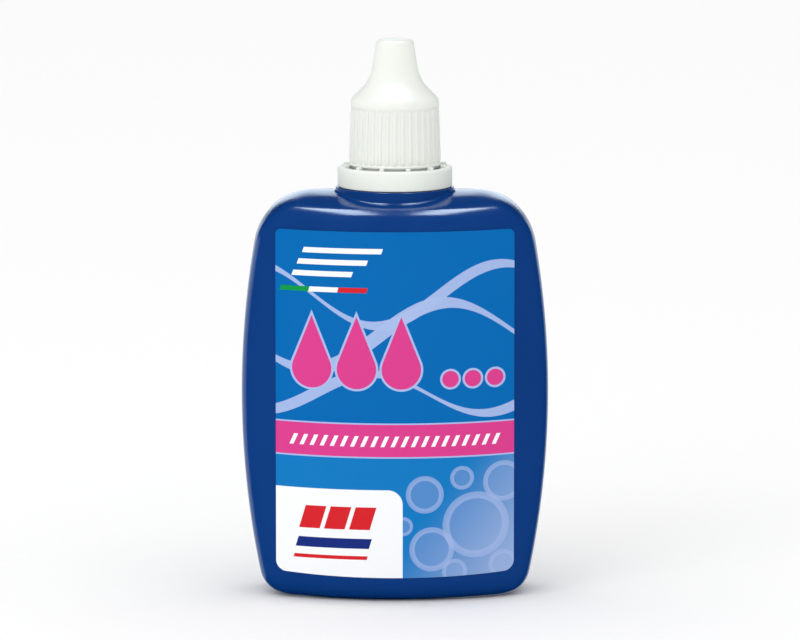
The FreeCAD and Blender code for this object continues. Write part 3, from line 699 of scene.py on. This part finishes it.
def flask_rings(sizes):
    """Rings of the bottle from pole to pole: foot, outside, shoulder, collar, neck, bore and inside."""
    outside = FlaskShape(sizes, 0.0, 0.0, sizes.shoulder, sizes.crown)
    # The inside's flat shoulder lies two walls down, so that it clears the bowed outside
    inside = FlaskShape(sizes, sizes.wall, sizes.foot + sizes.wall,
                        sizes.shoulder - 2 * sizes.wall, sizes.edge - sizes.wall)
    # The recess in the base, as shares of the base's width, of its depth and of the recess's height
    base, pole_share = outside.plan(0.0), 1.1
    rings = [[(0.0, 0.0, sizes.foot * pole_share)]]
    for across, along, up in ((0.4, 0.4, 1.08), (0.74, 0.66, 1.0), (0.79, 0.71, 0.94), (0.815, 0.745, 0.7),
                              (0.83, 0.77, 0.3), (0.845, 0.79, 0.06), (0.87, 0.82, 0.0)):
        rings.append([(x * across, y * along, sizes.foot * up) for x, y in base])
    outside_steps, inside_steps = (14, 36, 26), (4, 8, 8)
    last_plan = sizes.shoulder - sizes.dome
    heights = [height for height in outside.heights(*outside_steps) if height < last_plan] + [last_plan]
    rings += [[(x, y, height) for x, y in outside.plan(height)] for height in heights]

    # Over the shoulder to a circle round the collar, and up the collar's side
    edge_points = outside.plan(last_plan)
    turns = [math.atan2(y, x) for x, y in edge_points]
    foot_radius = sizes.collar_radius + sizes.collar_fillet
    shoulder_steps, fillet_steps = 24, 6
    for step in range(1, shoulder_steps + 1):
        share = step / shoulder_steps
        ring = []
        for (x, y), turn in zip(edge_points, turns):
            x += (foot_radius * math.cos(turn) - x) * share
            y += (foot_radius * math.sin(turn) - y) * share
            height = outside.surface_above(x, y, last_plan - MM)
            near_top = 1 - (sizes.shoulder - height) / sizes.dome
            ring.append((x, y, height - near_top**2 * (sizes.bow - math.sqrt(sizes.bow**2 - y**2))))
        rings.append(ring)
    foot_heights = [point[2] for point in rings[-1]]
    for step in range(1, fillet_steps + 1):
        angle = math.pi / 2 * step / fillet_steps
        radius = foot_radius - sizes.collar_fillet * math.sin(angle)
        rise = sizes.collar_fillet * (1 - math.cos(angle))
        rings.append([(radius * math.cos(turn), radius * math.sin(turn), height + rise)
                      for turn, height in zip(turns, foot_heights)])

    over_fillet, floor_share = 1.02, 0.4
    collar_foot = sizes.shoulder + sizes.collar_fillet * over_fillet
    for across, up in rounded(((sizes.collar_radius / MM, collar_foot / MM, 0.0),) + NECK_SECTION, False):
        radius = across * MM
        rings.append([(radius * math.cos(turn), radius * math.sin(turn), up * MM) for turn in turns])
    for height in reversed(inside.heights(*inside_steps)):
        rings.append([(x, y, height) for x, y in inside.plan(height)])
    rings.append([(x * floor_share, y * floor_share, inside.floor) for x, y in inside.plan(inside.floor)])
    return rings + [[(0.0, 0.0, inside.floor)]]


def corner_trim(from_edge, radius):
    """How much a rounded corner takes off, at a distance from the edge."""
    past = max(0.0, radius - from_edge)
    return radius - math.sqrt(max(0.0, radius**2 - past**2))


def label_mesh(sizes, flask):
    """A thin film bent round the front panel."""
    half = sizes.width / 2
    inner = half - sizes.low_corner
    edge_steps, middle_steps, rows = 12, 60, 12
    turns = [math.pi / 2 * step / edge_steps for step in range(edge_steps + 1)]
    right = [inner + sizes.low_corner * math.sin(turn) for turn in turns]
    between = [-inner + 2 * inner * step / middle_steps for step in range(1, middle_steps)]
    back_off = flask.panel_radius - flask.depth / 2
    under = flask.panel_radius + sizes.glue
    rings = []
    for x in [-x for x in reversed(right)] + between + right:
        low = sizes.bottom + sizes.bow * (x / half) ** 2 + corner_trim(half - abs(x), sizes.low_corner)
        high = sizes.top - corner_trim(half - abs(x), sizes.top_corner)
        levels = [low + (high - low) * row / rows for row in range(rows + 1)]
        near, far = (back_off - math.sqrt(radius**2 - x**2) for radius in (under, under + sizes.film))
        rings.append([(x, near, level) for level in levels] + [(x, far, level) for level in reversed(levels)])
    return skin(rings, capped=True)


def rib_mesh(sizes):
    """One rib on the right of the cap's skirt: a half-round bar that leans with it and fades at its ends."""
    foot_height, top_height = 81.65 * MM, 92.45 * MM
    foot_radius, top_radius, root = 8.47 * MM, 8.10 * MM, 0.3 * MM
    stations, fading_stations, arc_steps = 16, 1.2, 10
    rings = []
    for station in range(stations + 1):
        share = station / stations
        height = foot_height + (top_height - foot_height) * share
        base = foot_radius + (top_radius - foot_radius) * share
        near_end = min(share, 1 - share) * stations
        rise = sizes.rib_rise * math.sqrt(min(1.0, near_end / fading_stations))
        ring = [(base - root, -sizes.rib_width / 2, height)]
        for step in range(arc_steps + 1):
            angle = math.pi * step / arc_steps
            ring.append((base + rise * math.sin(angle), -sizes.rib_width / 2 * math.cos(angle), height))
        ring.append((base - root, sizes.rib_width / 2, height))
        rings.append(ring)
    return skin(rings, capped=True)


def bridge_mesh(sizes):
    """One bridge on the right of the band, from its rim towards the cap's foot, with rounded edges."""
    work = bmesh.new()
    bmesh.ops.create_cube(work, size=1.0)
    inner, outer, low, high = 8.85 * MM, 9.95 * MM, 80.45 * MM, 81.45 * MM
    for vertex in work.verts:
        vertex.co.x = (inner + outer) / 2 + vertex.co.x * (outer - inner)
        vertex.co.y *= sizes.bridge_width
        vertex.co.z = (low + high) / 2 + vertex.co.z * (high - low)
    bmesh.ops.bevel(work, geom=work.edges, offset=0.12 * MM, segments=2, affect="EDGES", profile=0.5)
    return mesh_from(work)


def thread_mesh(sizes, radius, start, facing, material):
    """A thread on a wall of the given radius that faces outwards, 1, or inwards, -1."""
    return close_seams(grow(thread_tree(), {
        "Radius": radius, "Start": start, "Facing": facing, "Material": material,
        "Depth": sizes.thread_depth, "Root": sizes.thread_root, "Crest": sizes.thread_crest,
        "Lead": sizes.lead, "Turns": sizes.thread_turns}, bpy.data.meshes.new("thread")))


class OBJECT_OT_oil_bottle_flask(bpy.types.Operator):
    """Make the blown flask with its collar, neck and thread"""

    bl_idname = "object.oil_bottle_flask"
    bl_label = "Flask"

    def execute(self, context):
        flask, closure = context.scene.flask_sizes, context.scene.closure_sizes
        material = polyethylene_blown(context.scene.finishes)
        thread = thread_mesh(closure, closure.neck_thread_radius, closure.neck_thread_start, 1.0, material)
        mesh = join([skin(flask_rings(flask)), thread])
        finish_piece(mesh, "blown_flask", material, "bottle", "bottle", sharp_angle=50.0)
        return {"FINISHED"}


class OBJECT_OT_oil_bottle_label(bpy.types.Operator):
    """Make the printed film label"""

    bl_idname = "object.oil_bottle_label"
    bl_label = "Label"

    def execute(self, context):
        scene = context.scene
        mesh = label_mesh(scene.label_sizes, scene.flask_sizes)
        finish_piece(mesh, "film_label", film_printed(scene.finishes), "front_label", "bottle")
        return {"FINISHED"}


class OBJECT_OT_oil_bottle_plug(bpy.types.Operator):
    """Make the dropper plug"""

    bl_idname = "object.oil_bottle_plug"
    bl_label = "Dropper plug"

    def execute(self, context):
        material = polyolefin_moulded("polyethylene_natural_moulded", context.scene.finishes.plug,
                                      roughness=0.34, scatter=0.25)
        mesh = turned_mesh(PLUG_SECTION, material, closed=True, segments=96)
        finish_piece(mesh, "dropper_plug", material, "dropper_nozzle", "bottle")
        return {"FINISHED"}


class OBJECT_OT_oil_bottle_cap(bpy.types.Operator):
    """Make the ribbed screw cap"""

    bl_idname = "object.oil_bottle_cap"
    bl_label = "Screw cap"

    def execute(self, context):
        sizes = context.scene.closure_sizes
        material = polyolefin_moulded("polypropylene_white_moulded", context.scene.finishes.cap,
                                      roughness=0.4, scatter=0.12)
        ribs = grow(ring_of_copies_tree(), {
            "Count": sizes.rib_count, "First Angle": 0.0, "Material": material}, rib_mesh(sizes))
        thread = thread_mesh(sizes, sizes.cap_thread_radius, sizes.cap_thread_start, -1.0, material)
        mesh = join([turned_mesh(CAP_SECTION, material, closed=False, segments=144), ribs, thread])
        finish_piece(mesh, "ribbed_cap", material, "screw_cap", "cap", sharp_angle=50.0)
        return {"FINISHED"}


class OBJECT_OT_oil_bottle_band(bpy.types.Operator):
    """Make the tamper band with its bridges"""

    bl_idname = "object.oil_bottle_band"
    bl_label = "Tamper band"

    def execute(self, context):
        sizes = context.scene.closure_sizes
        material = polyolefin_moulded("polypropylene_white_band", context.scene.finishes.cap,
                                      roughness=0.4, scatter=0.12)
        half_step = math.pi / sizes.bridge_count
        bridges = grow(ring_of_copies_tree(), {
            "Count": sizes.bridge_count, "First Angle": half_step, "Material": material}, bridge_mesh(sizes))
        mesh = join([turned_mesh(BAND_SECTION, material, closed=True, segments=144), bridges])
        finish_piece(mesh, "bridged_band", material, "tamper_band", "band", sharp_angle=50.0)
        return {"FINISHED"}


class SCENE_OT_oil_bottle_stage(bpy.types.Operator):
    """Lay the floor, hang the lights and set the camera"""

    bl_idname = "scene.oil_bottle_stage"
    bl_label = "Stage"

    def execute(self, context):
        scene, sizes = context.scene, context.scene.stage_sizes
        scene.view_settings.view_transform = "Standard"
        # White paper, uncoated: matt, with a faint cloud of fibres
        material, add = new_material("paper_white_matt")
        fibre_width = 3.0
        fibre = add("ShaderNodeTexNoise", {
            "Vector": object_millimetres(add), "Scale": 1 / fibre_width, "Detail": 2.0})
        tone = add("ShaderNodeMapRange", {"Value": fibre, "To Min": 0.97, "To Max": 0.99})
        shader = add("ShaderNodeBsdfPrincipled", {
            "Base Color": tone, "Roughness": 0.9, "Specular IOR Level": 0.0})
        add("ShaderNodeOutputMaterial", {"Surface": shader})
        reach = 6.0
        floor_mesh = bpy.data.meshes.new("floor")
        corners = [(-reach, -reach, 0.0), (reach, -reach, 0.0), (reach, reach, 0.0), (-reach, reach, 0.0)]
        floor_mesh.from_pydata(corners, [], [(0, 1, 2, 3)])
        floor_mesh.materials.append(material)
        floor = add_object("floor", floor_mesh)
        floor.visible_glossy = False

        world = bpy.data.worlds.new("white_room")
        scene.world = world
        world.use_nodes = True
        background = world.node_tree.nodes["Background"]
        background.inputs["Color"].default_value = (1.0, 1.0, 1.0, 1.0)
        background.inputs["Strength"].default_value = 0.97
        world.cycles_visibility.glossy = False

        # Two softboxes overhead, three panels behind whose light fades upwards, a rim light on each side
        # and a soft key in front; the key only lights, and the others are only seen in reflections
        cool, neutral = (0.78, 0.9, 1.0), (1.0, 1.0, 1.0)
        for name, size, place, aim, power, mirrored in (
                ("overhead_left", (0.2, 0.75), (-0.22, -0.09, 0.9), (-0.22, -0.09, 0.0), 6.3, True),
                ("overhead_right", (0.2, 0.75), (0.22, -0.09, 0.9), (0.22, -0.09, 0.0), 6.3, True),
                ("rear_low", (0.52, 0.3), (0.0, 1.5, 0.2), (0.0, 0.0, 0.2), 0.83, True),
                ("rear_middle", (0.52, 0.5), (0.0, 1.5, 0.3), (0.0, 0.0, 0.3), 1.18, True),
                ("rear_high", (0.52, 0.7), (0.0, 1.5, 0.4), (0.0, 0.0, 0.4), 1.18, True),
                ("left_rim", (1.6, 0.7), (-0.7, 0.97, -0.25), (0.0, 0.0, -0.25), 3.2, True),
                ("right_rim", (0.9, 0.7), (0.45, 1.1, -0.25), (0.0, 0.0, -0.25), 1.6, True),
                ("left_key", (0.7, 0.7), (-0.6, -0.9, 0.6), (0.0, 0.0, 0.05), 2.5, False)):
            lamp = bpy.data.lights.new(name, "AREA")
            lamp.shape, lamp.size, lamp.size_y, lamp.energy = "RECTANGLE", *size, power
            lamp.color = cool if mirrored else neutral
            light = add_object(name, lamp)
            light.visible_glossy, light.visible_diffuse = mirrored, not mirrored
            light.location = place
            light.rotation_euler = (Vector(aim) - Vector(place)).to_track_quat("-Z", "Y").to_euler()

        lens = bpy.data.cameras.new("camera")
        aim = Vector((sizes.aim_side, 0.0, sizes.aim_height))
        stand = Vector((sizes.aim_side, -sizes.camera_distance, sizes.camera_height))
        lens.lens = lens.sensor_width * (aim - stand).length / sizes.view_width
        camera = add_object("camera", lens)
        camera.location = stand
        camera.rotation_euler = (aim - stand).to_track_quat("-Z", "Y").to_euler()
        scene.camera = camera
        return {"FINISHED"}


PIECES = (OBJECT_OT_oil_bottle_flask, OBJECT_OT_oil_bottle_label, OBJECT_OT_oil_bottle_plug,
          OBJECT_OT_oil_bottle_cap, OBJECT_OT_oil_bottle_band, SCENE_OT_oil_bottle_stage)
SETTINGS = {"flask_sizes": FlaskSizes, "label_sizes": LabelSizes, "closure_sizes": ClosureSizes,
            "finishes": Finishes, "stage_sizes": StageSizes}


class VIEW3D_PT_oil_bottle(bpy.types.Panel):
    """Lists the operators in the order in which they run"""

    bl_label = "Oil bottle"
    bl_space_type = "VIEW_3D"
    bl_region_type = "UI"
    bl_category = "Oil bottle"

    def draw(self, context):
        for piece in PIECES:
            self.layout.operator(piece.bl_idname)


def register():
    for group in SETTINGS.values():
        bpy.utils.register_class(group)
    for name, group in SETTINGS.items():
        setattr(bpy.types.Scene, name, PointerProperty(type=group))
    for piece in (*PIECES, VIEW3D_PT_oil_bottle):
        bpy.utils.register_class(piece)


def unregister():
    for piece in (VIEW3D_PT_oil_bottle, *reversed(PIECES)):
        bpy.utils.unregister_class(piece)
    for name, group in reversed(SETTINGS.items()):
        delattr(bpy.types.Scene, name)
        bpy.utils.unregister_class(group)


def main():
    register()
    bpy.ops.object.oil_bottle_flask()
    bpy.ops.object.oil_bottle_label()
    bpy.ops.object.oil_bottle_plug()
    bpy.ops.object.oil_bottle_cap()
    bpy.ops.object.oil_bottle_band()
    bpy.ops.scene.oil_bottle_stage()


if __name__ == "__main__":
    main()
